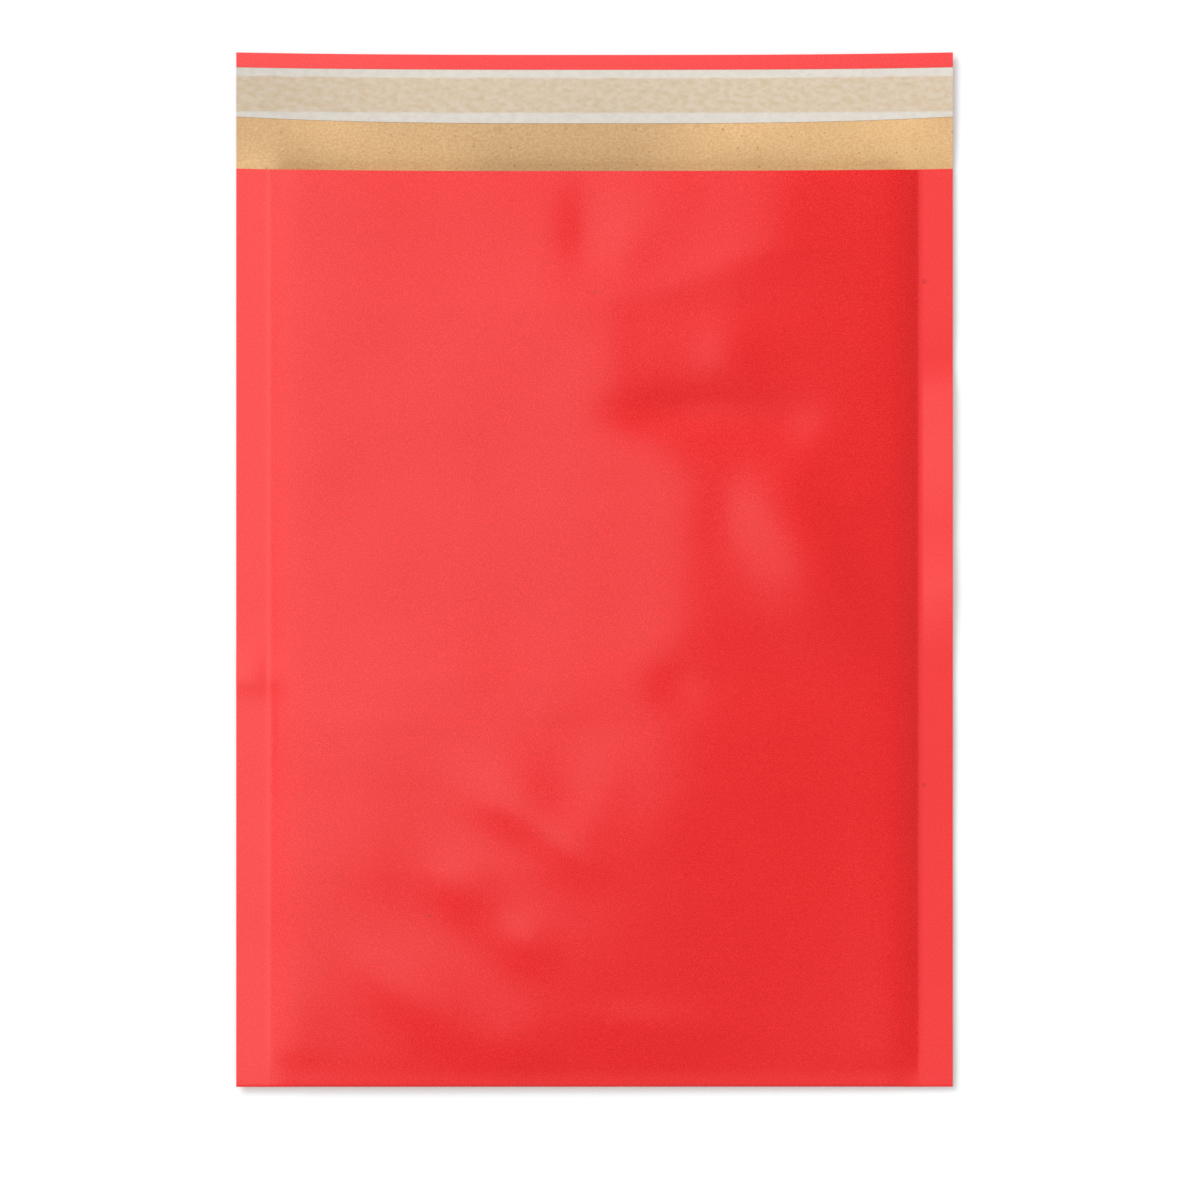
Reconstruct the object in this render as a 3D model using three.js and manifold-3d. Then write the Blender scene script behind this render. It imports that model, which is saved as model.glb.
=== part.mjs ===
// Padded envelope, empty and open, lying on its back with the flap stretched out.
// One paper sheet folds up at the bottom into a pocket and runs on into the flap. A bubble
// lining folds up inside it and is welded between the paper layers in the two side seams.
// The flap carries a strip of adhesive under a release liner, and its free edge is hemmed.
// Millimetres. +Z is up, +Y runs from the bottom fold to the flap, +X runs across the width.
// The origin is the middle of the footprint, on the surface that the envelope lies on.

import * as THREE from "three";
import Module from "manifold-3d";

// Driving dimensions of the paper cover
const WIDTH = 290;
const POCKET_LENGTH = 371;
const FLAP_LENGTH = 47.5;
const HEM_LENGTH = 6;
const PAPER_THICKNESS = 0.15;
const SEAM_WIDTH = 14;
const SHOULDER_WIDTH = 24;
const FOLD_DEPTH = 9;

// Driving dimensions of the bubble lining and the pocket inside it
const LINING_THICKNESS = 3.2;
const LINING_SETBACK = 8;
const WELD_THICKNESS = 0.3;
const POCKET_GAP = 6;

// Driving dimensions of the closure on the flap
const ADHESIVE_WIDTH = 14.5;
const ADHESIVE_THICKNESS = 0.12;
const LINER_WIDTH = 20.5;
const LINER_THICKNESS = 0.08;

// How high the seams and the flap's free edge stand above the surface
const SEAM_LIFT = 2.5;
const FLAP_LIFT = 4;

// Clearances between neighbouring layers
const LINING_CLEARANCE = 0.3;
const STACK_CLEARANCE = 0.2;
const HEM_CLEARANCE = 0.3;
const CUT_OVERSHOOT = 1;

// How finely the curved stretches are divided
const SHOULDER_STEPS = 10;
const FOLD_STEPS = 12;
const FLAP_STEPS = 8;
const HEM_STEPS = 4;
const STRIP_STEPS = 4;

// Lines across the envelope, along Y
const TOP = (POCKET_LENGTH + FLAP_LENGTH) / 2;
const BOTTOM = -TOP;
const MOUTH = BOTTOM + POCKET_LENGTH;
const FOLD_START = BOTTOM + FOLD_DEPTH;
const LINING_EDGE = MOUTH - LINING_SETBACK;
const LINER_TOP = TOP - HEM_LENGTH - HEM_CLEARANCE;
const LINER_MIDDLE = LINER_TOP - LINER_WIDTH / 2;

// Half heights of the closed layers, in a seam and at full padding
const LINING_INSET = PAPER_THICKNESS + LINING_CLEARANCE;
const SEAM_HALF = LINING_INSET + WELD_THICKNESS / 2;
const PAD_HALF = LINING_INSET + LINING_THICKNESS + POCKET_GAP / 2;

const { lerp, smoothstep } = THREE.MathUtils;

// How full the padding is at a distance from the centre line: 0 in a seam, 1 past the shoulder
function fullness(x) {
  return smoothstep(WIDTH / 2 - SEAM_WIDTH - Math.abs(x), 0, SHOULDER_WIDTH);
}

function middleHeight(x) {
  return lerp(SEAM_LIFT + SEAM_HALF, PAD_HALF, fullness(x));
}

function coverHalf(x) {
  return lerp(SEAM_HALF, PAD_HALF, fullness(x));
}

function pocketHalf(x) {
  return (POCKET_GAP / 2) * fullness(x);
}

// Height of the flap's underside, which rises from the back panel to the lifted free edge
function flapUnderside(x, y) {
  return lerp(middleHeight(x) - coverHalf(x), FLAP_LIFT, smoothstep(y, MOUTH, TOP));
}

// Places across the width where a section is needed, from the left edge to the right edge
function sectionPlaces() {
  const right = [];
  for (let step = SHOULDER_STEPS; step >= 0; step -= 1) {
    right.push(WIDTH / 2 - SEAM_WIDTH - (SHOULDER_WIDTH * step) / SHOULDER_STEPS);
  }
  right.push(WIDTH / 2);
  const left = right.map((x) => -x).reverse();
  return [...left, ...right];
}

// Line in the Y-Z plane from the front of the mouth, round the bottom fold, to the back of it
function pocketLine(x, half, foldReach, mouth) {
  const middle = middleHeight(x);
  const line = [new THREE.Vector2(mouth, middle + half)];
  for (let step = 0; step <= FOLD_STEPS; step += 1) {
    const angle = Math.PI / 2 + (Math.PI * step) / FOLD_STEPS;
    const y = FOLD_START + foldReach * Math.cos(angle);
    line.push(new THREE.Vector2(y, middle + half * Math.sin(angle)));
  }
  line.push(new THREE.Vector2(mouth, middle - half));
  return line;
}

// Line along the flap and round its hem; the outside face has depth 0, the inside the paper's
function flapLine(x, depth) {
  const outerRadius = PAPER_THICKNESS + HEM_CLEARANCE / 2;
  const hemCentre = TOP - outerRadius;
  const line = [];
  for (let step = 1; step <= FLAP_STEPS; step += 1) {
    const y = lerp(MOUTH, hemCentre, step / FLAP_STEPS);
    line.push(new THREE.Vector2(y, flapUnderside(x, y) + depth));
  }
  const radius = outerRadius - depth;
  const hemHeight = flapUnderside(x, hemCentre) + outerRadius;
  for (let step = 1; step <= HEM_STEPS; step += 1) {
    const angle = -Math.PI / 2 + (Math.PI * step) / HEM_STEPS;
    const y = hemCentre + radius * Math.cos(angle);
    line.push(new THREE.Vector2(y, hemHeight + radius * Math.sin(angle)));
  }
  line.push(new THREE.Vector2(TOP - HEM_LENGTH, hemHeight + radius));
  return line;
}

// Closed outline of the folded sheet: its outside face, then its inside face on the way back
function coverOutline(x) {
  const outside = pocketLine(x, coverHalf(x), FOLD_DEPTH, MOUTH);
  outside.push(...flapLine(x, 0));
  const insideHalf = coverHalf(x) - PAPER_THICKNESS;
  const inside = pocketLine(x, insideHalf, FOLD_DEPTH - PAPER_THICKNESS, MOUTH);
  inside.push(...flapLine(x, PAPER_THICKNESS));
  return [...outside, ...inside.reverse()];
}

function liningOutline(x) {
  return pocketLine(x, coverHalf(x) - LINING_INSET, FOLD_DEPTH - LINING_INSET, LINING_EDGE);
}

function pocketOutline(x) {
  const foldReach = FOLD_DEPTH - LINING_INSET - LINING_THICKNESS;
  return pocketLine(x, pocketHalf(x), foldReach, LINING_EDGE + CUT_OVERSHOOT);
}

// Closed outline of a strip that follows the flap at a height above its underside
function stripOutline(x, centre, width, lift, thickness) {
  const lower = [];
  for (let step = 0; step <= STRIP_STEPS; step += 1) {
    const y = centre + width * (step / STRIP_STEPS - 0.5);
    lower.push(new THREE.Vector2(y, flapUnderside(x, y) + lift));
  }
  const upper = lower.map((point) => new THREE.Vector2(point.x, point.y + thickness));
  return [...lower, ...upper.reverse()];
}

// Solid through outlines that stand side by side along X, each anticlockwise seen from +X
function loft(places, outlineAt) {
  const outlines = places.map(outlineAt);
  const count = outlines[0].length;
  const positions = [];
  places.forEach((x, i) => outlines[i].forEach((point) => positions.push(x, point.x, point.y)));

  const index = [];
  for (let i = 0; i + 1 < places.length; i += 1) {
    for (let k = 0; k < count; k += 1) {
      const next = (k + 1) % count;
      const here = i * count;
      const beyond = here + count;
      index.push(here + k, here + next, beyond + next);
      index.push(here + k, beyond + next, beyond + k);
    }
  }
  const lastStart = (places.length - 1) * count;
  THREE.ShapeUtils.triangulateShape(outlines[0], []).forEach(([a, b, c]) => index.push(a, c, b));
  THREE.ShapeUtils.triangulateShape(outlines.at(-1), []).forEach(([a, b, c]) => {
    index.push(lastStart + a, lastStart + b, lastStart + c);
  });

  const geometry = new THREE.BufferGeometry();
  geometry.setAttribute("position", new THREE.Float32BufferAttribute(positions, 3));
  geometry.setIndex(index);
  return geometry;
}

// What is left of one closed geometry where another is cut away from it
async function cutAway(geometry, cutter) {
  const wasm = await Module();
  wasm.setup();
  const [solid, tool] = [geometry, cutter].map((closed) => {
    const vertProperties = closed.getAttribute("position").array;
    const triVerts = new Uint32Array(closed.getIndex().array);
    return new wasm.Manifold(new wasm.Mesh({ numProp: 3, vertProperties, triVerts }));
  });
  const mesh = solid.subtract(tool).getMesh();
  const result = new THREE.BufferGeometry();
  result.setAttribute("position", new THREE.BufferAttribute(mesh.vertProperties, 3));
  result.setIndex(new THREE.BufferAttribute(mesh.triVerts, 1));
  return result;
}

function addPiece(group, name, geometry, material) {
  geometry.computeVertexNormals();
  const mesh = new THREE.Mesh(geometry, new THREE.MeshStandardMaterial(material));
  mesh.name = name;
  group.add(mesh);
}

const places = sectionPlaces();
const paddedPlaces = places.filter((x) => fullness(x) > 0);
const envelope = new THREE.Group();
envelope.name = "padded_envelope";

addPiece(envelope, "paper_cover", loft(places, coverOutline), {
  color: 0xf54748,
  roughness: 0.5,
  metalness: 0,
});

const lining = await cutAway(loft(places, liningOutline), loft(paddedPlaces, pocketOutline));
addPiece(envelope, "bubble_lining", lining, {
  color: 0xe6ebee,
  roughness: 0.2,
  metalness: 0,
  transparent: true,
  opacity: 0.5,
});

const adhesiveLift = PAPER_THICKNESS + STACK_CLEARANCE;
const adhesive = loft(places, (x) =>
  stripOutline(x, LINER_MIDDLE, ADHESIVE_WIDTH, adhesiveLift, ADHESIVE_THICKNESS),
);
addPiece(envelope, "adhesive_strip", adhesive, { color: 0xd8b98a, roughness: 0.25, metalness: 0 });

const linerLift = adhesiveLift + ADHESIVE_THICKNESS + STACK_CLEARANCE;
const liner = loft(places, (x) =>
  stripOutline(x, LINER_MIDDLE, LINER_WIDTH, linerLift, LINER_THICKNESS),
);
addPiece(envelope, "release_liner", liner, { color: 0xddd7cc, roughness: 0.55, metalness: 0 });

export default envelope;
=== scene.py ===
"""Looks of an empty padded envelope lying on its back, with its flap stretched out."""

import math

import bpy
import numpy as np
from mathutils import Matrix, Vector, noise


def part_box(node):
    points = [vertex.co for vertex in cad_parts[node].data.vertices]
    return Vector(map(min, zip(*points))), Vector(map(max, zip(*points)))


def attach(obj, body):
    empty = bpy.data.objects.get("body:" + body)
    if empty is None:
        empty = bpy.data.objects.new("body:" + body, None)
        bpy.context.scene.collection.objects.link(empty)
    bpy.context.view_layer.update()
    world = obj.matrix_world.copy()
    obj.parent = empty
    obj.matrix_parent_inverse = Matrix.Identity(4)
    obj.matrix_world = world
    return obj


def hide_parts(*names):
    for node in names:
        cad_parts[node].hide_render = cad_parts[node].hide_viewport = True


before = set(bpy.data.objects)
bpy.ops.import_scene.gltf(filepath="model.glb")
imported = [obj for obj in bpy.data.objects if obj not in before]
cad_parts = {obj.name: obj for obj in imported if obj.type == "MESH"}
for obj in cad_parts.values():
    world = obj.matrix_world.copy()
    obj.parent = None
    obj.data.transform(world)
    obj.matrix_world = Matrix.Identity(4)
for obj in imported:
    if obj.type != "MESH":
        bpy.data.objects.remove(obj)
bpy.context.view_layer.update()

MM = 0.001

# Lines and edges that the frame gives
cover_low, cover_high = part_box("paper_cover")
liner_low, liner_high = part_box("release_liner")
adhesive_low, adhesive_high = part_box("adhesive_strip")
HALF_WIDTH = cover_high.x
BOTTOM = cover_low.y
TOP = cover_high.y
LINING_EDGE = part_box("bubble_lining")[1].y

# Paper cover
POCKET_LENGTH = 371.5 * MM
MOUTH = BOTTOM + POCKET_LENGTH
SEAM_WIDTH = 14 * MM
SEAM_LINE = HALF_WIDTH - SEAM_WIDTH
HEM_LENGTH = 5.95 * MM
HEM_RADIUS = 0.14 * MM
PAPER = 0.15 * MM
SEAM_HEIGHT = 3.0 * MM
SEAM_HALF = 0.3 * MM
SEAM_WAVE = 0.35 * MM
SEAM_WAVE_SPAN = 45 * MM
SEAM_WAVE_SHIFT = 40 * MM
SEAM_WAVE_SEED = 3.0
SEAM_DROP = 0.8 * MM
FLAP_LIFT = 1.8 * MM
FLAP_END_LIFT = 2.8 * MM
FLAP_BEND = 7 * MM

# Padding: a quick rise at its edge, then a slow crown towards a soft ridge
EDGE_RISE = 2.8 * MM
EDGE_REACH = 6.3 * MM
BACK_REACH = 9 * MM
CORNER_RADIUS = 6 * MM
FOLD_DEPTH = 1.2 * MM
FOLD_HALF = 0.9 * MM
FOLD_SPREAD = 12 * MM
FRONT_SWELL = 46 * MM
SIDE_SWELL = 24 * MM
SIDE_SPREAD = 35 * MM
CORNER_EASE = 16 * MM
BACK_SWELL = 10 * MM
LIP_DROOP = 1.5 * MM
LIP_REACH = 9 * MM
CROWN = 7.4 * MM
CROWN_REACH = 160 * MM
CROWN_AT_MOUTH = 0.4
RIDGE_SOFTNESS = 0.12
BUCKLE = 0.3 * MM
BUCKLE_SPAN = 38 * MM
BUCKLE_SEED = 7.0

# How far the middle of each cross line sits below its ends; a higher power keeps it flatter
TOP_DIP = 0.95 * MM
MOUTH_DIP = 1.2 * MM
LINER_BOTTOM_DIP = 2.7 * MM
ADHESIVE_BOTTOM_DIP = 0.6 * MM
DIP_POWER = 3

# Closure strips on the flap
ADHESIVE = 0.08 * MM
LINER = 0.08 * MM
STRIP_GAP = 0.015 * MM
HEM_GAP = 0.05 * MM
LINER_TRIM = 0.9 * MM

# Bubble lining: film on the pocket's side, bubbles towards the paper
LINING = 3.1 * MM
LINING_SHARE = 0.4
LINING_GAP = 0.08 * MM
FILM = 0.06 * MM
FILM_SIDE_INSET = 2 * MM
FILM_FOLD_INSET = 1.4 * MM
FILM_HALF_WIDTH = HALF_WIDTH - FILM_SIDE_INSET
FILM_FOLD = BOTTOM + FILM_FOLD_INSET
BUBBLE_RADIUS = 5 * MM
BUBBLE_PITCH = 11.4 * MM
BUBBLE_SIDES = 10
BUBBLE_MARGIN = 9 * MM
BUBBLE_EDGE_GAP = 1 * MM
BUBBLE_FOOT = FILM / 4

# Shape of one bubble, with its heights as shares of its full height
RIM_INSET = 1.1 * MM
SHOULDER_INSET = 1.4 * MM
RIM_START = 0.95
RIM_HEIGHT = 0.6
DOME_FALL = 0.85
FACING_UP = 0.9

# How the right seam tilts along its length: (y, slope towards its edge)
SEAM_TILT = (
    (-200 * MM, -0.015),
    (-120 * MM, -0.035),
    (-40 * MM, -0.045),
    (-20 * MM, 0.01),
    (-8 * MM, 0.045),
    (15 * MM, 0.015),
    (40 * MM, 0.045),
    (72 * MM, 0.035),
    (84 * MM, -0.045),
    (100 * MM, -0.02),
    (165 * MM, -0.015),
)

# Where the soft ridge runs across the front: (y, x) from the bottom fold to the mouth
RIDGE = (
    (-190 * MM, -24 * MM),
    (-160 * MM, -9 * MM),
    (-140 * MM, 3 * MM),
    (-122 * MM, 8 * MM),
    (-108 * MM, 22 * MM),
    (-90 * MM, 38 * MM),
    (-62 * MM, 39 * MM),
    (-52 * MM, 31 * MM),
    (-45 * MM, 26 * MM),
    (-36 * MM, 31 * MM),
    (-20 * MM, 40 * MM),
    (32 * MM, 43 * MM),
    (60 * MM, 17 * MM),
    (106 * MM, 14 * MM),
    (130 * MM, 74 * MM),
    (160 * MM, 83 * MM),
)

# Soft bumps and dents, in millimetres and degrees: x, y, half length,
# half width to the left and to the right of its length, turn, height
FRONT_DENTS = (
    (-3, 139, 11, 7, 13, 90, -0.9),
    (12, 128, 10, 8, 8, 90, 0.25),
    (44, 117, 28, 15, 15, 22, -0.6),
    (28, 63, 15, 6, 6, 0, -1.5),
    (60, 62, 22, 8, 9, -10, -1.6),
    (20, 88, 16, 7, 28, 90, -0.3),
    (55, 87, 9, 8, 8, 0, 0.6),
    (60, 104, 18, 16, 26, 90, 0.6),
    (53, 26, 12, 7, 8, 85, -0.5),
    (88, 6, 27, 11, 16, -64, 3.6),
    (90, 49, 12, 8, 8, 60, 0.8),
    (108, 30, 9, 6, 6, -10, 0.7),
    (33, -47, 7, 6, 8, 50, -0.6),
    (-87, -61, 20, 4, 4, 0, 0.25),
    (-57, -43, 14, 4, 4, 0, 0.2),
    (-62, -56, 40, 34, 38, 0, 1.9),
    (-40, -100, 36, 26, 24, -22, 1.4),
    (32, -158, 45, 38, 38, 90, 2.3),
    (-14, -57, 13, 8, 7, 0, 0.35),
    (3, -92, 13, 8, 8, 90, 0.4),
    (-20, -104, 24, 14, 8, -30, 1.0),
    (-38, -143, 22, 12, 9, -33, 0.7),
    (-33, -94, 12, 11, 7, -20, 0.7),
    (-8, -113, 10, 9, 7, -30, 0.5),
    (-55, -127, 9, 8, 7, -50, 0.9),
    (-27, -151, 8, 8, 7, -30, 1.0),
    (-66, -179, 26, 12, 9, -38, 2.3),
    (-30, -201, 13, 12, 8, -38, 3.5),
    (-93, -85, 42, 18, 17, 90, 1.1),
    (28, -186, 20, 6, 12, -4, 2.4),
)
SEAM_DENTS = (
    (-139, -43, 9, 7, 5, 0, 1.0),
)
FLAP_DENTS = (
    (-75, 185, 30, 20, 20, 90, 0.4),
)

# Divisions of the sheets
SEAM_COLUMNS = 6
SHOULDER_COLUMNS = 12
SHOULDER_SPAN = 16 * MM
MIDDLE_COLUMNS = 92
PANEL_ROWS = 146
BACK_ROWS = 90
FOLD_ROWS = 8
FLAP_ROWS = 26
HEM_FLAT_ROWS = 3
HEM_ROWS = 8
STRIP_ROWS = 14
FILM_COLUMNS = 40
FILM_ROWS = 80
FILM_FOLD_ROWS = 4

# Angles up to which the edge between two faces is smoothed
SHEET_SMOOTHING = math.radians(50)
BUBBLE_SMOOTHING = math.radians(60)

# Where the red paper is pressed flat, from not at all to fully; there its tooth is smoothed and it
# is painted lighter, a painted sheen
SEAM_PRESS = (SEAM_LINE - 0.4 * MM, SEAM_LINE + 0.6 * MM)
HEM_PRESS = (TOP - HEM_LENGTH - 2 * MM, TOP - HEM_LENGTH - 1.5 * MM)
FOLD_PRESS = (BOTTOM + 9 * MM, BOTTOM)
FOLD_PRESS_SHARE = 0.6
PRESSED_TOOTH = 0.2

# Where the adhesive shows through the release paper, from not at all to fully
BAND_TOP = (adhesive_high.y + 0.5 * MM, adhesive_high.y - 0.5 * MM)
BAND_BOTTOM = (adhesive_low.y - 0.4 * MM, adhesive_low.y + 0.6 * MM)
BAND_RAGGEDNESS = 0.8 * MM

# Noise and specks: ranges, stretches, and fineness in cells to a metre
NOISE_RANGE = (0.3, 0.7)
# Range of the broad painted shade on the flap's papers
PAINTED_SHADE_RANGE = (0.375, 0.625)
STREAK_RANGE = (0.29, 0.71)
FIBRE_STRETCH = (0.7, 1, 1)
STREAK_STRETCH = (0.7, 1.2, 1)
STREAK_TURN = math.radians(50)
FILM_STRETCH = (1, 0.15, 1)
CLOUD_FINENESS = 26.0
STREAK_FINENESS = 430.0
BAND_EDGE_FINENESS = 160.0
ADHESIVE_FINENESS = 180.0
HAZE_FINENESS = 120.0
FILM_LINE_FINENESS = 900.0
SPECK_EDGE_FINENESS = 1800.0
SPECK_SIZES = (0.018, 0.07)
SPECK_RAGGEDNESS = 0.02

# Painted shade, roughness and alpha, each from a pattern's 0 to its 1
KRAFT_PAINTED_SHADE = (0.865, 1.21)
RELEASE_PAINTED_SHADE = (0.86, 1.01)
RED_ROUGHNESS = (0.25, 0.29)
KRAFT_ROUGHNESS = (0.44, 0.58)
RELEASE_ROUGHNESS = (0.42, 0.55)
ADHESIVE_ROUGHNESS = (0.18, 0.34)
FILM_ROUGHNESS = (0.12, 0.24)
FILM_ALPHA = (0.40, 0.55)

# Colours
RED_DARK = (0.725, 0.001, 0.001, 1)
RED_LIGHT = (0.905, 0.0165, 0.0165, 1)
RED_CLOUD = (0.84, 0.014, 0.014, 1)
# Painted sheen: a lighter, whiter red where the paper is pressed flat, lightest on the hem
RED_PRESSED_SHEEN = (0.90, 0.033, 0.033, 1)
RED_HEM_SHEEN = (0.92, 0.042, 0.043, 1)
RED_SPECK = (0.22, 0.012, 0.014, 1)
KRAFT_DARK = (0.615, 0.337, 0.123, 1)
KRAFT_LIGHT = (0.775, 0.523, 0.268, 1)
KRAFT_GRAIN = (0.70, 0.432, 0.196, 1)
KRAFT_CLOUD = (0.64, 0.385, 0.165, 1)
KRAFT_SPECK = (0.36, 0.18, 0.075, 1)
BAND_DARK = (0.600, 0.464, 0.298, 1)
BAND_LIGHT = (0.690, 0.574, 0.450, 1)
BAND_FIBRE = (0.674, 0.548, 0.403, 1)
RELEASE_DARK = (0.670, 0.625, 0.555, 1)
RELEASE_LIGHT = (0.730, 0.685, 0.615, 1)
ADHESIVE_DARK = (0.50, 0.33, 0.14, 1)
ADHESIVE_LIGHT = (0.64, 0.46, 0.24, 1)
FILM_CLEAR = (0.74, 0.79, 0.81, 1)
FILM_HAZY = (0.84, 0.87, 0.88, 1)

# Floor, a little short of red because the paper throws red light on it
FLOOR_COLOUR = (0.77, 0.8, 0.8, 1)
FLOOR_GLOW = 0.22
FLOOR_SIZE = 60
FLOOR_DROP = 0.05 * MM

# Light, in metres and watts
WORLD_COLOUR = (1, 1, 1, 1)
WORLD_LIGHT = 0.46
SOFTBOX_WIDTH = 17.0
SOFTBOX_LENGTH = 18.0
SOFTBOX_CORNER = Vector((0.05, -1.9, 10.0))
SOFTBOX_RADIANCE = 1.57
KEY_PLACE = Vector((-5.4, 6.2, 6.8))
KEY_SIZE = 4.0
KEY_POWER = 420

# Camera, with its sensor and lens in millimetres
CAMERA_X = 2.2 * MM
CAMERA_Y = -12.3 * MM
FRAME_WIDTH = 0.4856
SENSOR = 36
LENS = 200


def smooth(value, start, end):
    """0 before the start and 1 past the end, with a soft step between them."""
    share = np.clip((value - start) / (end - start), 0, 1)
    return share * share * (3 - 2 * share)


def middleness(x):
    """1 on the centre line, falling to 0 at the side edges."""
    return 1 - np.abs(x / HALF_WIDTH) ** DIP_POWER


def wander(x, y, span, seed):
    """Smooth noise from -1 to 1 that changes over about the given distance."""
    places = zip((x / span).ravel(), (y / span).ravel())
    values = [noise.noise(Vector((across, along, seed))) for across, along in places]
    return np.array(values).reshape(x.shape)


def side_room(x, y):
    """How far a point lies inside the padding's side outline, whose bottom corners are round."""
    from_bottom = np.clip(y - BOTTOM, 0, CORNER_RADIUS)
    corner = CORNER_RADIUS - np.sqrt(CORNER_RADIUS**2 - (CORNER_RADIUS - from_bottom) ** 2)
    return np.clip(SEAM_LINE - corner - np.abs(x), 0, None)


def fold_nose(y):
    """0 at the bottom fold's edge, rising round its small nose to 1."""
    share = np.clip((y - BOTTOM) / FOLD_DEPTH, 0, 1)
    return np.sqrt(1 - (1 - share) ** 2)


def fold_swell(y, reach):
    """0 at the bottom fold, filling up to 1 over the given distance."""
    return 1 - np.exp(-np.clip(y - BOTTOM, 0, None) / reach)


def edge_half(x, y):
    """Half of the thickness that is left where the layers are pressed together."""
    return SEAM_HALF + (FOLD_HALF - SEAM_HALF) * smooth(side_room(x, y), 0, FOLD_SPREAD)


def seam_height(x, y):
    """Middle height of the pressed layers, which wave a little along the seams."""
    side = np.clip(x / SEAM_LINE, -1, 1) * SEAM_WAVE_SHIFT
    tilt_y, tilt = np.array(SEAM_TILT).T
    lift = np.interp(y, tilt_y, tilt) * np.clip(x - SEAM_LINE, 0, None)
    drop = SEAM_DROP * smooth(x, 0, SEAM_LINE)
    wave = SEAM_WAVE * wander(side, y, SEAM_WAVE_SPAN, SEAM_WAVE_SEED)
    return SEAM_HEIGHT + wave + dents(x, y, SEAM_DENTS) + lift - drop


def crown(x, y):
    """The front's slow rise from the sides to its soft ridge, lower towards mouth and fold."""
    ridge_y, ridge_x = np.array(RIDGE).T
    peak = np.interp(y, ridge_y, ridge_x)
    rising = (x + SEAM_LINE) / (peak + SEAM_LINE)
    falling = (SEAM_LINE - x) / (SEAM_LINE - peak)
    gap = np.abs(rising - falling) / RIDGE_SOFTNESS
    tent = np.minimum(rising, falling) - RIDGE_SOFTNESS * np.log1p(np.exp(-gap))
    from_fold = np.clip((y - BOTTOM) / CROWN_REACH, 0, 1)
    from_mouth = np.clip((MOUTH - y) / CROWN_REACH, 0, 1)
    mouth_share = 1 - (1 - CROWN_AT_MOUTH) * (1 - from_mouth) ** 2
    fold_share = from_fold * (1.5 - 0.5 * from_fold**2)
    return CROWN * np.clip(tent, 0, None) * fold_share * mouth_share


def dents(x, y, places):
    """Height that soft bumps and dents add."""
    total = np.zeros_like(x)
    for centre_x, centre_y, length, left, right, turn, height in places:
        cosine = math.cos(math.radians(turn))
        sine = math.sin(math.radians(turn))
        dx = x / MM - centre_x
        dy = y / MM - centre_y
        along = (dx * cosine + dy * sine) / length
        across = dy * cosine - dx * sine
        across = across / np.where(across > 0, left, right)
        total = total + height * MM * np.exp(-0.5 * (along**2 + across**2))
    return total


def front_height(x, y):
    """Height of the front panel's paper, seams included."""
    edge = 1 - np.exp(-side_room(x, y) / EDGE_REACH)
    buckle = BUCKLE * wander(x, y, BUCKLE_SPAN, BUCKLE_SEED)
    fill = edge * (EDGE_RISE + dents(x, y, FRONT_DENTS) + buckle)
    inside = smooth(side_room(x, y), 0, SIDE_SPREAD)
    reach = SIDE_SWELL + (FRONT_SWELL - SIDE_SWELL) * inside
    ease = smooth(y - BOTTOM, 0, CORNER_EASE)
    swell = fold_swell(y, reach) * (ease + (1 - ease) * inside)
    lip = LIP_DROOP * edge * np.exp((y - MOUTH) / LIP_REACH)
    rise = edge_half(x, y) * fold_nose(y) + fill * swell + crown(x, y)
    return seam_height(x, y) + rise - lip


def back_height(x, y):
    """Height of the back panel's paper, which lies on the surface between its shoulders."""
    half = edge_half(x, y)
    sag = (1 - np.exp(-((side_room(x, y) / BACK_REACH) ** 2))) * fold_swell(y, BACK_SWELL)
    middle = seam_height(x, y)
    return middle - half * fold_nose(y) - (middle - PAPER / 2 - half) * sag


def flap_height(x, y):
    """Height of the flap's paper, which rises from the back panel to its free edge."""
    rise = 1 - np.exp(-np.clip(y - MOUTH, 0, None) / FLAP_BEND)
    start = back_height(x, np.full_like(x, MOUTH))
    edge = FLAP_LIFT + (FLAP_END_LIFT - FLAP_LIFT) * (x / HALF_WIDTH) ** 2
    return start + (edge + dents(x, y, FLAP_DENTS) - start) * rise


def lining_thickness(x, y):
    """Thickness of the lining, full or squeezed between the panels."""
    space = front_height(x, y) - back_height(x, y) - PAPER
    return np.minimum(LINING, LINING_SHARE * space)


def front_film(x, y):
    """Height of the film below the front panel."""
    return front_height(x, y) - PAPER / 2 - lining_thickness(x, y)


def back_film(x, y):
    """Height of the film above the back panel."""
    return back_height(x, y) + PAPER / 2 + lining_thickness(x, y)


def column_places(half_width, middle_columns):
    """Places across the width, close together where the padding rises from the seams."""
    shoulder_end = SEAM_LINE - SHOULDER_SPAN
    right = np.concatenate([
        np.linspace(0, shoulder_end, middle_columns // 2 + 1)[1:],
        np.linspace(shoulder_end, SEAM_LINE, SHOULDER_COLUMNS + 1)[1:],
        np.linspace(SEAM_LINE, half_width, SEAM_COLUMNS + 1)[1:],
    ])
    return np.concatenate([-right[::-1], [0.0], right])


def hem_rows(x):
    """The hem from its free edge to the fold at the top, and round that fold."""
    top = TOP - TOP_DIP * middleness(x)
    centre = top - HEM_RADIUS
    edge = top - HEM_LENGTH
    height = flap_height(x, centre) + HEM_RADIUS
    rows = []
    for share in np.linspace(0, 1, HEM_FLAT_ROWS + 1)[:-1]:
        y = edge + (centre - edge) * share
        rows.append((y, flap_height(x, y) + 2 * HEM_RADIUS))
    for angle in np.linspace(math.pi / 2, -math.pi / 2, HEM_ROWS + 1):
        y = centre + HEM_RADIUS * math.cos(angle)
        rows.append((y, height + HEM_RADIUS * math.sin(angle)))
    return rows


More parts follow.
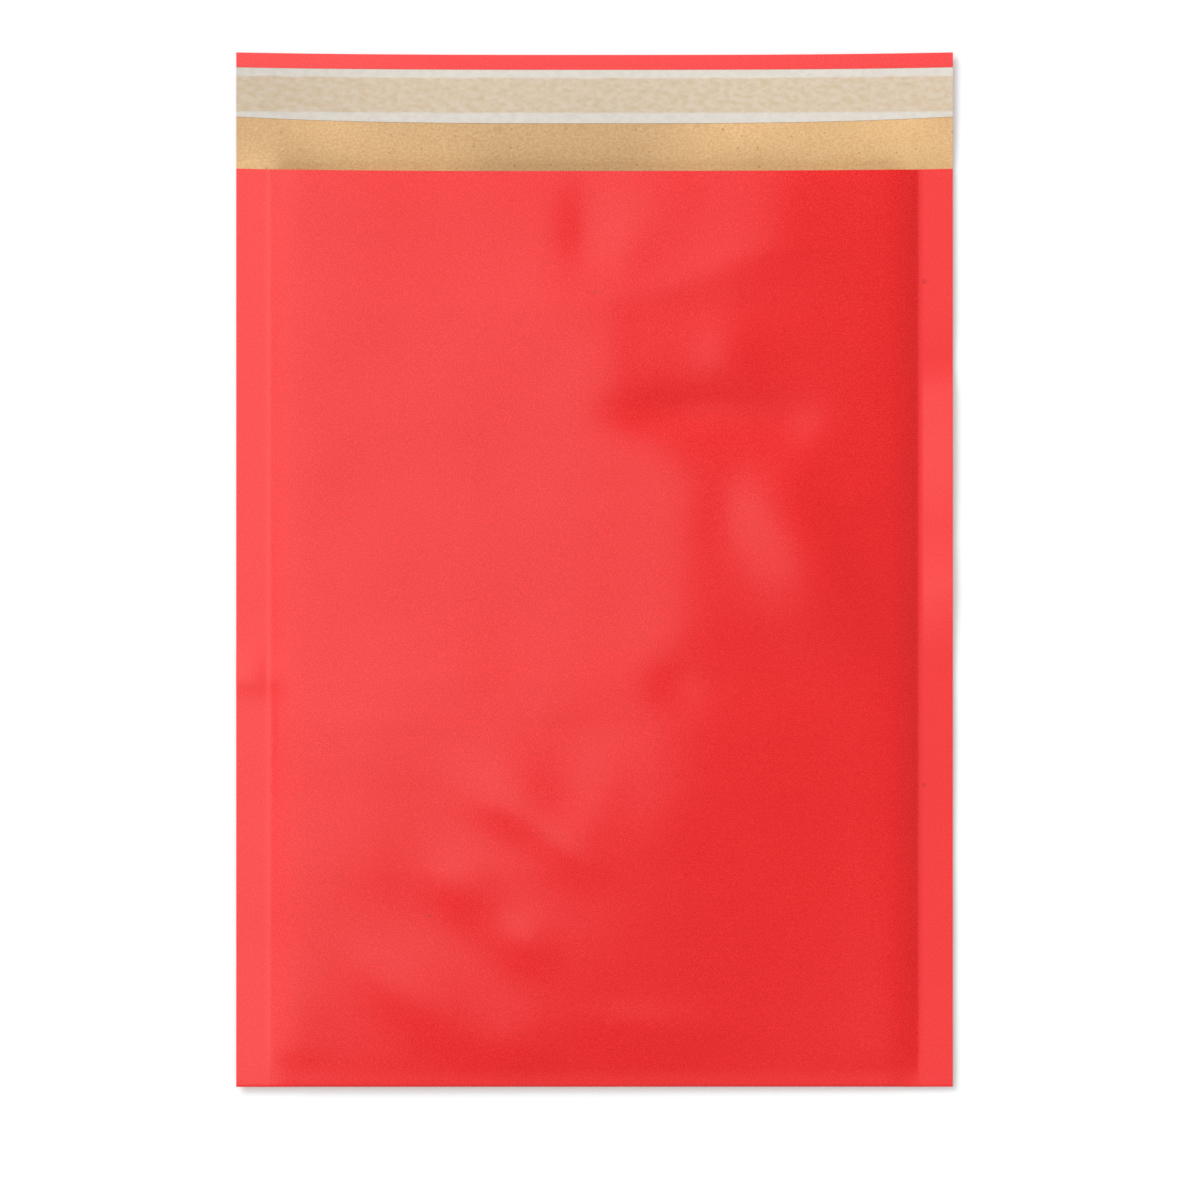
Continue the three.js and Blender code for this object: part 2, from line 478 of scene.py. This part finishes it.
def cover_rows(x):
    """The folded sheet, row by row from the hem's free edge to the front's mouth."""
    rows = hem_rows(x)
    flap_end = rows[-1][0]
    for share in np.linspace(1, 0, FLAP_ROWS + 1)[1:]:
        y = MOUTH + (flap_end - MOUTH) * share
        rows.append((y, flap_height(x, y)))
    angles = np.linspace(0, math.pi / 2, FOLD_ROWS + 1)
    nose = BOTTOM + FOLD_DEPTH * (1 - np.cos(angles))
    for y in [*np.linspace(MOUTH, nose[-1], BACK_ROWS + 1)[1:], *nose[::-1][1:]]:
        level = np.full_like(x, y)
        rows.append((level, back_height(x, level)))
    for y in nose[1:]:
        level = np.full_like(x, y)
        rows.append((level, front_height(x, level)))
    mouth = MOUTH - MOUTH_DIP * middleness(x)
    for share in np.linspace(0, 1, PANEL_ROWS + 1)[1:]:
        level = nose[-1] + (mouth - nose[-1]) * share
        rows.append((level, front_height(x, level)))
    return rows


def strip_rows(x, low, high, lift):
    """A strip on the flap between two cross lines, at a height above the paper's middle."""
    rows = []
    for share in np.linspace(0, 1, STRIP_ROWS + 1):
        y = low + (high - low) * share
        rows.append((y, flap_height(x, y) + lift))
    return rows


def film_rows(x):
    """The lining's film from the front's mouth, round the bottom fold, to the back's mouth."""
    rows = []
    for y in np.linspace(LINING_EDGE, FILM_FOLD, FILM_ROWS + 1):
        level = np.full_like(x, y)
        rows.append((level, front_film(x, level)))
    fold = np.full_like(x, FILM_FOLD)
    top = front_film(x, fold)
    bottom = back_film(x, fold)
    half = (top - bottom) / 2
    for angle in np.linspace(0, math.pi, FILM_FOLD_ROWS + 1)[1:-1]:
        rows.append((fold - half * math.sin(angle), bottom + half * (1 + math.cos(angle))))
    for y in np.linspace(FILM_FOLD, LINING_EDGE, FILM_ROWS + 1):
        level = np.full_like(x, y)
        rows.append((level, back_film(x, level)))
    return rows


def lay_sheet(name, x, rows, thickness, materials):
    """A flat grid, laid along the given rows of points and thickened."""
    bpy.ops.object.select_all(action="DESELECT")
    bpy.ops.mesh.primitive_grid_add(x_subdivisions=len(x) - 1, y_subdivisions=len(rows) - 1)
    sheet = bpy.context.object
    sheet.name = name
    sheet.data.name = name
    points = np.array([np.stack([x, y, z], axis=1) for y, z in rows])
    sheet.data.vertices.foreach_set("co", points.ravel())
    sheet.data.update()
    for material in materials:
        sheet.data.materials.append(material)
    bpy.ops.object.modifier_add(type="SOLIDIFY")
    solidify = sheet.modifiers[-1]
    solidify.thickness = thickness
    solidify.offset = 0
    solidify.material_offset = len(materials) - 1
    solidify.material_offset_rim = len(materials) - 1
    bpy.ops.object.modifier_apply(modifier=solidify.name)
    bpy.ops.object.shade_smooth_by_angle(angle=SHEET_SMOOTHING)
    return sheet


def model_bubble():
    """One air bubble, a drum of height 1 with a rounded rim; gives its points and faces."""
    bpy.ops.object.select_all(action="DESELECT")
    bpy.ops.mesh.primitive_cylinder_add(
        vertices=BUBBLE_SIDES, radius=BUBBLE_RADIUS, depth=1, location=(0, 0, 0.5)
    )
    bubble = bpy.context.object
    bpy.ops.object.transform_apply(location=True, rotation=False, scale=False)
    bpy.ops.object.mode_set(mode="EDIT")
    bpy.ops.mesh.select_all(action="DESELECT")
    bpy.ops.object.mode_set(mode="OBJECT")
    for face in bubble.data.polygons:
        face.select = face.normal.z > FACING_UP
    bpy.ops.object.mode_set(mode="EDIT")
    bpy.ops.mesh.inset(thickness=RIM_INSET)
    bpy.ops.mesh.inset(thickness=SHOULDER_INSET)
    bpy.ops.object.mode_set(mode="OBJECT")
    points = np.array([vertex.co for vertex in bubble.data.vertices])
    faces = [tuple(face.vertices) for face in bubble.data.polygons]
    bpy.data.objects.remove(bubble)
    from_axis = np.hypot(points[:, 0], points[:, 1]) / BUBBLE_RADIUS
    on_top = points[:, 2] > 0.5
    dome = np.sqrt(1 - DOME_FALL * from_axis**2)
    top = np.where(from_axis > RIM_START, RIM_HEIGHT, dome)
    points[:, 2] = np.where(on_top, top, 0)
    return points, faces


def bubble_places():
    """Staggered rows of bubble centres over one panel."""
    places = []
    row_step = BUBBLE_PITCH * math.sqrt(3) / 2
    reach = SEAM_LINE - BUBBLE_MARGIN
    low = BOTTOM + 2 * BUBBLE_MARGIN
    steps = int(reach / BUBBLE_PITCH) + 1
    count = int((LINING_EDGE - BUBBLE_RADIUS - low) / row_step)
    for row in range(count + 1):
        y = LINING_EDGE - BUBBLE_RADIUS - BUBBLE_EDGE_GAP - row * row_step
        shift = BUBBLE_PITCH / 2 if row % 2 else 0
        for step in range(-steps, steps + 1):
            x = step * BUBBLE_PITCH + shift
            if abs(x) < reach:
                places.append((x, y))
    return np.array(places)


def add_bubbles(film):
    """Bubbles on the paper's side of both panels, joined to the film."""
    points, faces = model_bubble()
    places = bubble_places()
    x = (places[:, None, 0] + points[None, :, 0]).ravel()
    y = (places[:, None, 1] + points[None, :, 1]).ravel()
    share = np.tile(points[:, 2], len(places))
    full = lining_thickness(x, y) - LINING_GAP
    height = BUBBLE_FOOT + (full - BUBBLE_FOOT) * share
    up = np.stack([x, y, front_film(x, y) + height], axis=1)
    down = np.stack([x, y, back_film(x, y) - height], axis=1)
    starts = [copy * len(points) for copy in range(len(places))]
    up_faces = [[start + corner for corner in face] for start in starts for face in faces]
    turned = [[corner + len(up) for corner in reversed(face)] for face in up_faces]
    mesh = bpy.data.meshes.new("bubbles")
    mesh.from_pydata([*up, *down], [], up_faces + turned)
    mesh.materials.append(film.data.materials[0])
    bubbles = bpy.data.objects.new("bubbles", mesh)
    bpy.context.scene.collection.objects.link(bubbles)
    bpy.ops.object.select_all(action="DESELECT")
    bubbles.select_set(True)
    film.select_set(True)
    bpy.context.view_layer.objects.active = film
    bpy.ops.object.join()
    bpy.ops.object.shade_smooth_by_angle(angle=BUBBLE_SMOOTHING)


def node(tree, kind, inputs=(), **settings):
    """A new shader node with its settings, and its inputs set to values or linked to sockets."""
    made = tree.nodes.new(kind)
    for name, value in settings.items():
        setattr(made, name, value)
    for name, value in dict(inputs).items():
        if isinstance(value, bpy.types.NodeSocket):
            tree.links.new(value, made.inputs[name])
        else:
            made.inputs[name].default_value = value
    return made


def calc(tree, operation, *values):
    """What a math operation gives for values or sockets."""
    made = node(tree, "ShaderNodeMath", dict(enumerate(values)), operation=operation)
    return made.outputs[0]


def spread(tree, value, low, high, start=0.0, end=1.0, easing="SMOOTHSTEP"):
    """The value taken from the range low to high to the range start to end."""
    inputs = {0: value, 1: low, 2: high, 3: start, 4: end}
    return node(tree, "ShaderNodeMapRange", inputs, interpolation_type=easing).outputs[0]


def ramp(tree, share, start, end):
    """A value that runs evenly from start to end as the share goes from 0 to 1."""
    return spread(tree, share, 0.0, 1.0, start, end, "LINEAR")


def blend(tree, share, first, second):
    """A colour between two colours."""
    inputs = {0: share, 6: first, 7: second}
    return node(tree, "ShaderNodeMix", inputs, data_type="RGBA").outputs[2]


def tint(tree, colour, mask, share, other):
    """The colour, taken by a share towards another one where the mask is 1."""
    return blend(tree, calc(tree, "MULTIPLY", mask, share), colour, other)


def shade(tree, colour, value):
    """The colour made darker or lighter by a value around 1."""
    inputs = {0: 1.0, 6: colour, 7: value}
    return node(tree, "ShaderNodeMix", inputs, data_type="RGBA", blend_type="MULTIPLY").outputs[2]


def mottle(tree, place, scale, detail=2.0, distortion=0.0):
    """Soft noise around 0.5."""
    inputs = {"Vector": place, "Scale": scale, "Detail": detail, "Distortion": distortion}
    return node(tree, "ShaderNodeTexNoise", inputs).outputs["Fac"]


def stretch(tree, place, scale, turn=0.0):
    """The place, turned about the vertical and scaled, for a pattern that runs one way."""
    inputs = {"Vector": place, "Rotation": (0, 0, turn), "Scale": scale}
    return node(tree, "ShaderNodeMapping", inputs).outputs[0]


def new_group(name, inputs, outputs):
    """An empty node group with value or vector inputs and value outputs."""
    tree = bpy.data.node_groups.new(name, "ShaderNodeTree")
    for label, kind in inputs:
        tree.interface.new_socket(label, in_out="INPUT", socket_type=kind)
    for label in outputs:
        tree.interface.new_socket(label, in_out="OUTPUT", socket_type="NodeSocketFloat")
    given = tree.nodes.new("NodeGroupInput").outputs
    result = tree.nodes.new("NodeGroupOutput").inputs
    return tree, given, result


def paper_grain_group():
    """Fine grain, felted fibres and clouds of a paper, and a broad painted shade across it, each
    from 0 to 1.
    """
    tree, given, result = new_group(
        "paper_grain",
        (
            ("Place", "NodeSocketVector"),
            ("Fineness", "NodeSocketFloat"),
            ("Breadth", "NodeSocketFloat"),
            ("Batch", "NodeSocketFloat"),
        ),
        ("Grain", "Fibre", "Cloud", "Painted_Shade"),
    )
    fine = mottle(tree, given["Place"], given["Fineness"])
    tree.links.new(spread(tree, fine, *NOISE_RANGE, easing="LINEAR"), result["Grain"])
    lengthened = stretch(tree, given["Place"], FIBRE_STRETCH)
    half_as_fine = calc(tree, "MULTIPLY", given["Fineness"], 0.5)
    felt = mottle(tree, lengthened, half_as_fine, detail=4.0, distortion=0.4)
    tree.links.new(spread(tree, felt, *NOISE_RANGE), result["Fibre"])
    cloud = mottle(tree, given["Place"], CLOUD_FINENESS, detail=3.0, distortion=0.4)
    tree.links.new(spread(tree, cloud, *NOISE_RANGE), result["Cloud"])
    # Broad painted shade: darker and lighter reaches across the sheet in place of uneven light; the
    # seed sets where they lie
    broad = node(
        tree,
        "ShaderNodeTexNoise",
        {"Vector": given["Place"], "W": given["Batch"], "Scale": given["Breadth"], "Detail": 1.0},
        noise_dimensions="4D",
    ).outputs["Fac"]
    tree.links.new(spread(tree, broad, *PAINTED_SHADE_RANGE, easing="LINEAR"), result["Painted_Shade"])
    return tree


def specks_group():
    """Scattered small dark fibres, as a mask."""
    tree, given, result = new_group(
        "fibre_specks",
        (
            ("Place", "NodeSocketVector"),
            ("Density", "NodeSocketFloat"),
            ("Share", "NodeSocketFloat"),
        ),
        ("Mask",),
    )
    inputs = {"Vector": given["Place"], "Scale": given["Density"]}
    cells = node(tree, "ShaderNodeTexVoronoi", inputs, voronoi_dimensions="2D")
    chance = node(tree, "ShaderNodeSeparateColor", {"Color": cells.outputs["Color"]}).outputs
    shown = calc(tree, "LESS_THAN", chance["Red"], given["Share"])
    size = ramp(tree, chance["Green"], *SPECK_SIZES)
    edge = mottle(tree, given["Place"], SPECK_EDGE_FINENESS)
    ragged = calc(tree, "MULTIPLY_ADD", edge, SPECK_RAGGEDNESS, -SPECK_RAGGEDNESS / 2)
    distance = calc(tree, "ADD", cells.outputs["Distance"], ragged)
    inside = calc(tree, "LESS_THAN", distance, size)
    tree.links.new(calc(tree, "MULTIPLY", shown, inside), result["Mask"])
    return tree


def start_material(name):
    """A material with its tree, its shader and the object's own coordinates."""
    material = bpy.data.materials.new(name)
    material.use_nodes = True
    tree = material.node_tree
    place = tree.nodes.new("ShaderNodeTexCoord").outputs["Object"]
    return material, tree, tree.nodes["Principled BSDF"], place


def place_group(tree, group, place, **values):
    """A node group placed in a material, with its own values."""
    inputs = {"Place": place, **values}
    return node(tree, "ShaderNodeGroup", inputs, node_tree=group).outputs


def add_bump(tree, shader, height, distance, strength):
    """Fine relief on the shader's normal."""
    inputs = {"Height": height, "Distance": distance, "Strength": strength}
    bump = node(tree, "ShaderNodeBump", inputs)
    tree.links.new(bump.outputs["Normal"], shader.inputs["Normal"])


def make_red_paper(grain, specks):
    """Satin red paper, smoother where it is pressed in the seams, hem and fold, and painted lighter
    there as a painted sheen.
    """
    material, tree, shader, place = start_material("red_paper")
    grains = place_group(tree, grain, place, Fineness=1700.0, Breadth=9.0, Batch=0.0)
    axes = node(tree, "ShaderNodeSeparateXYZ", {"Vector": place}).outputs
    from_middle = calc(tree, "ABSOLUTE", axes["X"])
    seam = spread(tree, from_middle, *SEAM_PRESS)
    hem = spread(tree, axes["Y"], *HEM_PRESS)
    fold = calc(tree, "MULTIPLY", spread(tree, axes["Y"], *FOLD_PRESS), FOLD_PRESS_SHARE)
    pressed = calc(tree, "MAXIMUM", calc(tree, "MAXIMUM", seam, hem), fold)
    toned = blend(tree, grains["Grain"], RED_DARK, RED_LIGHT)
    clouded = tint(tree, toned, grains["Cloud"], 0.25, RED_CLOUD)
    # Painted sheen on the pressed seams, hem and fold
    painted_sheen = blend(tree, hem, RED_PRESSED_SHEEN, RED_HEM_SHEEN)
    paper = blend(tree, pressed, clouded, painted_sheen)
    spots = place_group(tree, specks, place, Density=60.0, Share=0.012)["Mask"]
    spotted = tint(tree, paper, spots, 0.25, RED_SPECK)
    tree.links.new(spotted, shader.inputs["Base Color"])
    roughness = ramp(tree, grains["Grain"], *RED_ROUGHNESS)
    tree.links.new(roughness, shader.inputs["Roughness"])
    tooth = calc(tree, "MULTIPLY", grains["Grain"], ramp(tree, pressed, 1.0, PRESSED_TOOTH))
    add_bump(tree, shader, tooth, distance=0.02 * MM, strength=0.06)
    return material


def make_kraft_paper(grain, specks):
    """Uncoated brown paper with felted fibres, clouds, a few dark specks and a broad painted shade.
    """
    material, tree, shader, place = start_material("kraft_paper")
    grains = place_group(tree, grain, place, Fineness=2700.0, Breadth=13.0, Batch=282.9)
    toned = blend(tree, grains["Fibre"], KRAFT_DARK, KRAFT_LIGHT)
    grainy = tint(tree, toned, grains["Grain"], 0.5, KRAFT_GRAIN)
    clouded = tint(tree, grainy, grains["Cloud"], 0.3, KRAFT_CLOUD)
    # Painted shade: broadly darker to the left and lighter to the right
    shaded = shade(tree, clouded, ramp(tree, grains["Painted_Shade"], *KRAFT_PAINTED_SHADE))
    spots = place_group(tree, specks, place, Density=140.0, Share=0.55)["Mask"]
    spotted = tint(tree, shaded, spots, 0.55, KRAFT_SPECK)
    tree.links.new(spotted, shader.inputs["Base Color"])
    roughness = ramp(tree, grains["Fibre"], *KRAFT_ROUGHNESS)
    tree.links.new(roughness, shader.inputs["Roughness"])
    add_bump(tree, shader, grains["Fibre"], distance=0.05 * MM, strength=0.4)
    return material


def adhesive_mask(tree, place):
    """1 where the adhesive lies below the release paper, with a ragged edge."""
    axes = node(tree, "ShaderNodeSeparateXYZ", {"Vector": place}).outputs
    side = calc(tree, "ABSOLUTE", calc(tree, "DIVIDE", axes["X"], HALF_WIDTH))
    dip = calc(tree, "SUBTRACT", 1.0, calc(tree, "POWER", side, DIP_POWER))
    edge = mottle(tree, place, BAND_EDGE_FINENESS)
    ragged = calc(tree, "MULTIPLY_ADD", edge, BAND_RAGGEDNESS, -BAND_RAGGEDNESS / 2)
    level = calc(tree, "ADD", axes["Y"], ragged)
    upper = calc(tree, "MULTIPLY_ADD", dip, TOP_DIP, level)
    lower = calc(tree, "MULTIPLY_ADD", dip, ADHESIVE_BOTTOM_DIP, level)
    below_top = spread(tree, upper, *BAND_TOP)
    above_bottom = spread(tree, lower, *BAND_BOTTOM)
    return calc(tree, "MULTIPLY", below_top, above_bottom)


def make_release_paper(grain):
    """Off-white silicone paper, through which the adhesive shows as a mottled beige band, under a
    broad painted shade.
    """
    material, tree, shader, place = start_material("release_paper")
    grains = place_group(tree, grain, place, Fineness=900.0, Breadth=5.0, Batch=180.1)
    band = adhesive_mask(tree, place)
    slanted = stretch(tree, place, STREAK_STRETCH, STREAK_TURN)
    noise_streaks = mottle(tree, slanted, STREAK_FINENESS, detail=5.0, distortion=0.3)
    streaks = spread(tree, noise_streaks, *STREAK_RANGE)
    beige = blend(tree, streaks, BAND_DARK, BAND_LIGHT)
    felted = tint(tree, beige, grains["Fibre"], 0.4, BAND_FIBRE)
    white = blend(tree, grains["Fibre"], RELEASE_DARK, RELEASE_LIGHT)
    shown = blend(tree, band, white, felted)
    # Painted shade: broadly darker to the left and lighter to the right
    shaded = shade(tree, shown, ramp(tree, grains["Painted_Shade"], *RELEASE_PAINTED_SHADE))
    tree.links.new(shaded, shader.inputs["Base Color"])
    roughness = ramp(tree, streaks, *RELEASE_ROUGHNESS)
    tree.links.new(roughness, shader.inputs["Roughness"])
    wrinkles = calc(tree, "MULTIPLY", streaks, band)
    add_bump(tree, shader, wrinkles, distance=0.06 * MM, strength=0.5)
    return material


def make_adhesive():
    """Tacky amber adhesive, rolled on a little unevenly."""
    material, tree, shader, place = start_material("adhesive")
    uneven = mottle(tree, place, ADHESIVE_FINENESS, detail=3.0, distortion=0.5)
    rolled = spread(tree, uneven, *NOISE_RANGE)
    colour = blend(tree, rolled, ADHESIVE_DARK, ADHESIVE_LIGHT)
    tree.links.new(colour, shader.inputs["Base Color"])
    roughness = ramp(tree, rolled, *ADHESIVE_ROUGHNESS)
    tree.links.new(roughness, shader.inputs["Roughness"])
    add_bump(tree, shader, rolled, distance=0.05 * MM, strength=0.5)
    return material


def make_bubble_film():
    """Clear soft film, a little hazy, with fine stretch lines."""
    material, tree, shader, place = start_material("bubble_film")
    uneven = mottle(tree, place, HAZE_FINENESS, detail=3.0, distortion=0.4)
    haze = spread(tree, uneven, *NOISE_RANGE)
    colour = blend(tree, haze, FILM_CLEAR, FILM_HAZY)
    tree.links.new(colour, shader.inputs["Base Color"])
    tree.links.new(ramp(tree, haze, *FILM_ALPHA), shader.inputs["Alpha"])
    tree.links.new(ramp(tree, haze, *FILM_ROUGHNESS), shader.inputs["Roughness"])
    drawn = stretch(tree, place, FILM_STRETCH)
    lines = mottle(tree, drawn, FILM_LINE_FINENESS)
    add_bump(tree, shader, lines, distance=0.03 * MM, strength=0.3)
    return material


def make_floor_white():
    """Plain white; its glow is seen directly, in gloss and through film, and lights nothing."""
    material = bpy.data.materials.new("floor_white")
    material.use_nodes = True
    tree = material.node_tree
    tree.nodes.clear()
    diffuse = node(tree, "ShaderNodeBsdfDiffuse", {"Color": FLOOR_COLOUR})
    glow = node(tree, "ShaderNodeEmission", {"Strength": FLOOR_GLOW})
    white = node(tree, "ShaderNodeAddShader", {0: diffuse.outputs[0], 1: glow.outputs[0]})
    path = tree.nodes.new("ShaderNodeLightPath").outputs
    seen = calc(tree, "MAXIMUM", path["Is Camera Ray"], path["Is Glossy Ray"])
    seen = calc(tree, "MAXIMUM", seen, path["Is Transmission Ray"])
    inputs = {0: seen, 1: diffuse.outputs[0], 2: white.outputs[0]}
    surface = node(tree, "ShaderNodeMixShader", inputs).outputs[0]
    node(tree, "ShaderNodeOutputMaterial", {"Surface": surface})
    return material


def lay_floor():
    """A white floor just below the envelope, which keeps its shadow."""
    bpy.ops.object.select_all(action="DESELECT")
    bpy.ops.mesh.primitive_plane_add(size=FLOOR_SIZE, location=(0, 0, -FLOOR_DROP))
    floor = bpy.context.object
    floor.name = "floor"
    floor.data.materials.append(make_floor_white())


def add_lamp(name, place, turn, width, length, power):
    """A rectangular lamp that the camera doesn't see."""
    data = bpy.data.lights.new(name, "AREA")
    data.shape = "RECTANGLE"
    data.size = width
    data.size_y = length
    data.energy = power
    lamp = bpy.data.objects.new(name, data)
    bpy.context.scene.collection.objects.link(lamp)
    lamp.location = place
    lamp.rotation_euler = turn
    lamp.visible_camera = False


def light_studio():
    """An even grey world, a broad softbox overhead to the left and a key lamp beside it."""
    world = bpy.data.worlds.new("studio")
    bpy.context.scene.world = world
    world.use_nodes = True
    background = world.node_tree.nodes["Background"].inputs
    background["Color"].default_value = WORLD_COLOUR
    background["Strength"].default_value = WORLD_LIGHT
    place = SOFTBOX_CORNER + Vector((-SOFTBOX_WIDTH / 2, SOFTBOX_LENGTH / 2, 0))
    power = SOFTBOX_RADIANCE * math.pi * SOFTBOX_WIDTH * SOFTBOX_LENGTH
    add_lamp("softbox", place, (0, 0, 0), SOFTBOX_WIDTH, SOFTBOX_LENGTH, power)
    key_turn = KEY_PLACE.to_track_quat("Z", "Y").to_euler()
    add_lamp("key", KEY_PLACE, key_turn, KEY_SIZE, KEY_SIZE, KEY_POWER)


def set_camera():
    """A camera straight above and far away, whose frame fits at the height of the seams."""
    data = bpy.data.cameras.new("camera")
    data.lens = LENS
    data.sensor_width = SENSOR
    camera = bpy.data.objects.new("camera", data)
    bpy.context.scene.collection.objects.link(camera)
    camera.location = (CAMERA_X, CAMERA_Y, FRAME_WIDTH * LENS / SENSOR + SEAM_HEIGHT)
    bpy.context.scene.camera = camera


# Materials
paper_grain = paper_grain_group()
fibre_specks = specks_group()
red_paper = make_red_paper(paper_grain, fibre_specks)
kraft_paper = make_kraft_paper(paper_grain, fibre_specks)
release_paper = make_release_paper(paper_grain)
adhesive = make_adhesive()
bubble_film = make_bubble_film()

# Pieces
columns = column_places(HALF_WIDTH, MIDDLE_COLUMNS)
cover = lay_sheet("red_paper_cover", columns, cover_rows(columns), PAPER, [red_paper, kraft_paper])

adhesive_lift = PAPER / 2 + STRIP_GAP + ADHESIVE / 2
adhesive_top = adhesive_high.y - TOP_DIP * middleness(columns)
adhesive_bottom = adhesive_low.y - ADHESIVE_BOTTOM_DIP * middleness(columns)
adhesive_band = lay_sheet(
    "adhesive_band",
    columns,
    strip_rows(columns, adhesive_bottom, adhesive_top, adhesive_lift),
    ADHESIVE,
    [adhesive],
)

liner_lift = adhesive_lift + ADHESIVE / 2 + STRIP_GAP + LINER / 2
liner_top = TOP - HEM_LENGTH - HEM_GAP - TOP_DIP * middleness(columns)
liner_bottom = liner_low.y + LINER_TRIM - LINER_BOTTOM_DIP * middleness(columns)
liner = lay_sheet(
    "release_liner_strip",
    columns,
    strip_rows(columns, liner_bottom, liner_top, liner_lift),
    LINER,
    [release_paper],
)

film_columns = column_places(FILM_HALF_WIDTH, FILM_COLUMNS)
lining = lay_sheet("bubble_film_lining", film_columns, film_rows(film_columns), FILM, [bubble_film])
add_bubbles(lining)

for piece, replaced, slot in (
    (cover, "paper_cover", "red_paper"),
    (lining, "bubble_lining", "bubble_film"),
    (adhesive_band, "adhesive_strip", "adhesive"),
    (liner, "release_liner", "release_paper"),
):
    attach(piece, "root")
    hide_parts(replaced)

# Stage
lay_floor()
light_studio()
set_camera()
bpy.context.scene.view_settings.view_transform = "Standard"
